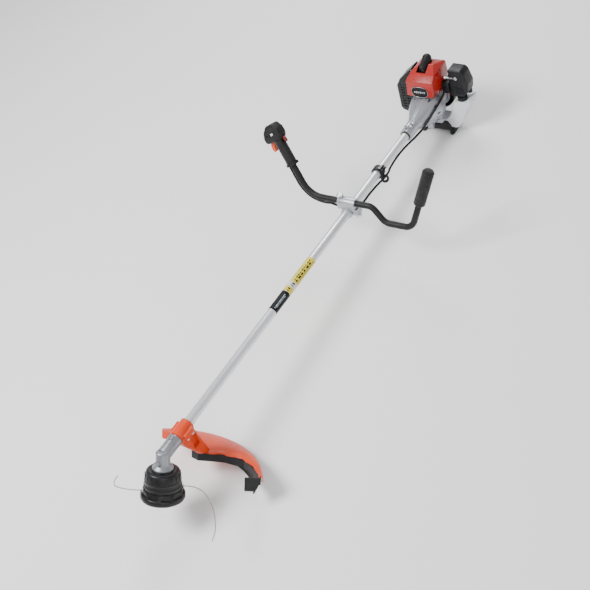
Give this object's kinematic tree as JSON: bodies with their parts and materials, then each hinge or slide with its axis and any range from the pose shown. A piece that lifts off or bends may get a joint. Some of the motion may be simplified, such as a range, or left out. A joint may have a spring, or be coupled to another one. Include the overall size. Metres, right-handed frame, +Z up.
{
  "type": "string trimmer",
  "caption": "Petrol string trimmer: straight alloy shaft, bump-feed line head under a curved guard, bull-horn handlebar with a throttle grip, and a covered engine with tank, starter and stand.",
  "frame": {"origin": "middle of the length and width on the ground plane, when the tool rests on its guard and engine stand; the two loose line ends are not counted", "axes": "+X from the cutting head to the engine along the ground, +Y to the side of the muffler, +Z up"},
  "size_m": [1.7982, 0.5839, 0.4056],
  "materials": {
    "cast_alloy": "satin, fine cast grain",
    "tube_alloy": "satin silver",
    "steel": "bright, turned",
    "knob_metal": "satin",
    "head_plastic": "satin black",
    "spool_plastic": "satin",
    "nylon_line": "clear-grey nylon",
    "guard_orange": "satin orange-red",
    "skirt_black": "satin black",
    "bushing_rubber": "dull",
    "harness_plastic": "satin black",
    "bar_paint": "satin black coat",
    "grip_foam": "fine closed-cell foam",
    "grip_plastic": "satin black",
    "trigger_orange": "satin",
    "lockout_red": "satin",
    "switch_grey": "satin",
    "cable_rubber": "satin",
    "shoe_iron": "rough",
    "fan_alloy": "cast",
    "engine_alloy": "cast",
    "plug_ceramic": "glazed ceramic",
    "boot_rubber": "satin",
    "cover_red": "gloss red",
    "muffler_steel": "heat-dulled",
    "cover_black": "fine grained black",
    "bulb_rubber": "soft, semi-clear",
    "pulley_plastic": "plain",
    "handle_plastic": "satin black",
    "tank_white": "milky, semi-clear",
    "cap_plastic": "satin black",
    "stand_plastic": "satin black"
  },
  "bodies": {
    "tool": {"gear_case": "cast_alloy", "guard_panel": "guard_orange", "guard_clamp": "guard_orange", "guard_skirt": "skirt_black", "line_cutter": "steel", "main_tube": "tube_alloy", "shaft_bushings": "bushing_rubber", "harness_clamp": "harness_plastic", "bar_clamp_base": "cast_alloy", "bar_clamp_cap": "cast_alloy", "cable_lower": "cable_rubber", "clutch_housing": "cast_alloy", "crankcase": "cast_alloy", "ball_bearings": "steel", "cylinder": "engine_alloy", "spark_plug": "plug_ceramic", "plug_boot": "boot_rubber", "top_cover": "cover_red", "muffler": "muffler_steel", "muffler_cover": "cover_black", "carburettor": "cover_black", "air_filter_cover": "cover_black", "starter_cover": "cover_black", "fuel_tank": "tank_white", "engine_stand": "stand_plastic", "frame_screws": "steel"},
    "drive_line": {"drive_shaft": "steel", "bevel_pinion": "steel", "clutch_drum": "steel"},
    "cutting_head": {"output_shaft": "steel", "bevel_gear": "steel", "head_shell": "head_plastic", "head_cover": "head_plastic", "line_spool": "spool_plastic", "spool_spring": "steel", "line_eyelets": "steel", "cutting_line_left": "nylon_line", "cutting_line_right": "nylon_line"},
    "bump_knob": {"bump_button": "head_plastic"},
    "crank": {"crankshaft": "steel", "flywheel_fan": "fan_alloy", "clutch_shoes": "shoe_iron"},
    "piston_set": {"piston": "engine_alloy", "connecting_rod": "engine_alloy"},
    "handlebar_set": {"handlebar": "bar_paint", "foam_grip": "grip_foam", "throttle_case_front": "grip_plastic", "throttle_case_rear": "grip_plastic", "grip_screws": "steel", "cable_upper": "cable_rubber"},
    "trigger": {"throttle_trigger": "trigger_orange"},
    "lockout": {"throttle_lockout": "lockout_red"},
    "switch": {"stop_switch": "switch_grey"},
    "knob_left": {"clamp_knob_left": "knob_metal"},
    "knob_right": {"clamp_knob_right": "knob_metal"},
    "choke": {"choke_lever": "steel"},
    "primer": {"primer_bulb": "bulb_rubber"},
    "starter_reel": {"starter_pulley": "pulley_plastic"},
    "starter_grip": {"pull_handle": "handle_plastic"},
    "tank_cap": {"fuel_cap": "cap_plastic"}
  },
  "joints": [
    {"name": "head_spin", "type": "hinge", "parent": "tool", "child": "cutting_head", "pos_m": [-0.779, 0.0077, 0.21283], "axis": [0.5505, 0, 0.8348], "continuous": true},
    {"name": "drive_spin", "type": "hinge", "parent": "tool", "child": "drive_line", "pos_m": [-0.779, 0.0077, 0.21283], "axis": [0.9982, 0, -0.0593], "continuous": true},
    {"name": "bump_press", "type": "slide", "parent": "cutting_head", "child": "bump_knob", "axis": [0.5505, 0, 0.8348], "range_m": [0, 0.006], "stiffness_N_per_m": 900},
    {"name": "crank_spin", "type": "hinge", "parent": "tool", "child": "crank", "pos_m": [0.81619, 0.0077, 0.11806], "axis": [0.9982, 0, -0.0593], "continuous": true},
    {"name": "piston_stroke", "type": "slide", "parent": "tool", "child": "piston_set", "axis": [0.0593, 0, 0.9982], "range_m": [-0.032, 0]},
    {"name": "handlebar_tilt", "type": "hinge", "parent": "tool", "child": "handlebar_set", "pos_m": [0.22102, 0.0077, 0.18347], "axis": [0, 1, 0], "range_deg": [-15, 15]},
    {"name": "trigger_squeeze", "type": "hinge", "parent": "handlebar_set", "child": "trigger", "pos_m": [0.27479, 0.26523, 0.34513], "axis": [-0.9489, 0, 0.3156], "range_deg": [0, 14], "stiffness_Nm_per_rad": 0.25},
    {"name": "lockout_press", "type": "hinge", "parent": "handlebar_set", "child": "lockout", "pos_m": [0.28028, 0.23599, 0.36162], "axis": [0.9489, 0, -0.3156], "range_deg": [0, 8], "stiffness_Nm_per_rad": 0.25},
    {"name": "switch_slide", "type": "slide", "parent": "handlebar_set", "child": "switch", "axis": [-0.1533, 0.8742, -0.4608], "range_m": [0, 0.004]},
    {"name": "knob_left_turn", "type": "hinge", "parent": "tool", "child": "knob_left", "pos_m": [0.22221, 0.0317, 0.20344], "axis": [0.0593, 0, 0.9982], "continuous": true},
    {"name": "knob_right_turn", "type": "hinge", "parent": "tool", "child": "knob_right", "pos_m": [0.21805, -0.0213, 0.13356], "axis": [0.0593, 0, 0.9982], "continuous": true},
    {"name": "choke_turn", "type": "hinge", "parent": "tool", "child": "choke", "pos_m": [0.80638, -0.0963, 0.22282], "axis": [0.9982, 0, -0.0593], "range_deg": [0, 60]},
    {"name": "primer_press", "type": "slide", "parent": "tool", "child": "primer", "axis": [0.0593, 0, 0.9982], "range_m": [0, 0.003], "stiffness_N_per_m": 600},
    {"name": "handle_pull", "type": "slide", "parent": "tool", "child": "starter_grip", "axis": [0, -1, 0], "range_m": [0, 0.09], "stiffness_N_per_m": 60},
    {"name": "reel_spin", "type": "hinge", "parent": "tool", "child": "starter_reel", "pos_m": [0.86311, 0.0077, 0.11527], "axis": [0.9982, 0, -0.0593], "range_deg": [0, 190]},
    {"name": "cap_turn", "type": "hinge", "parent": "tool", "child": "tank_cap", "pos_m": [0.81538, -0.1033, 0.13814], "axis": [0.0593, 0, 0.9982], "continuous": true}
  ],
  "couplings": [
    {"joint": "drive_spin", "follows": "head_spin", "ratio": 1.3571},
    {"joint": "reel_spin", "follows": "handle_pull", "rad_per_m": 32.895}
  ]
}
